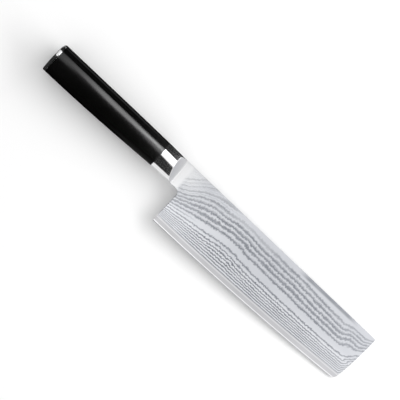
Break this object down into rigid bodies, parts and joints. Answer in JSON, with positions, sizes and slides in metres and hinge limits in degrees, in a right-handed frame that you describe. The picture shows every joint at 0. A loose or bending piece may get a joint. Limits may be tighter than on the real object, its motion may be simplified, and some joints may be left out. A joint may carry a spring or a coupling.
{
  "type": "nakiri knife",
  "caption": "Straight-edged vegetable knife with a tall layered-steel blade, a polished bolster, a D-shaped black wood handle and a steel end cap.",
  "frame": {"origin": "middle of the knife's outline seen from above, on the surface that it lies on with its left side down", "axes": "+X from the butt to the tip, +Y from the edge to the spine, +Z out of the right face of the blade"},
  "size_m": [0.2897, 0.046, 0.0181],
  "materials": {
    "core_steel": "satin, bright where it is sharpened",
    "layered_steel": "etched layers, light and blue-grey, satin",
    "polished_steel": "polished stainless steel",
    "plain_steel": "plain",
    "black_wood": "resin-impregnated, satin",
    "bedding_resin": "cured epoxy"
  },
  "bodies": {
    "root": {"blade_core": "core_steel", "cladding_right": "layered_steel", "cladding_left": "layered_steel", "bolster": "polished_steel", "tang_extension": "plain_steel", "handle_grip": "black_wood", "tang_bedding": "bedding_resin", "tang_washer": "plain_steel", "tang_nut": "plain_steel", "end_cap": "polished_steel"}
  },
  "joints": []
}
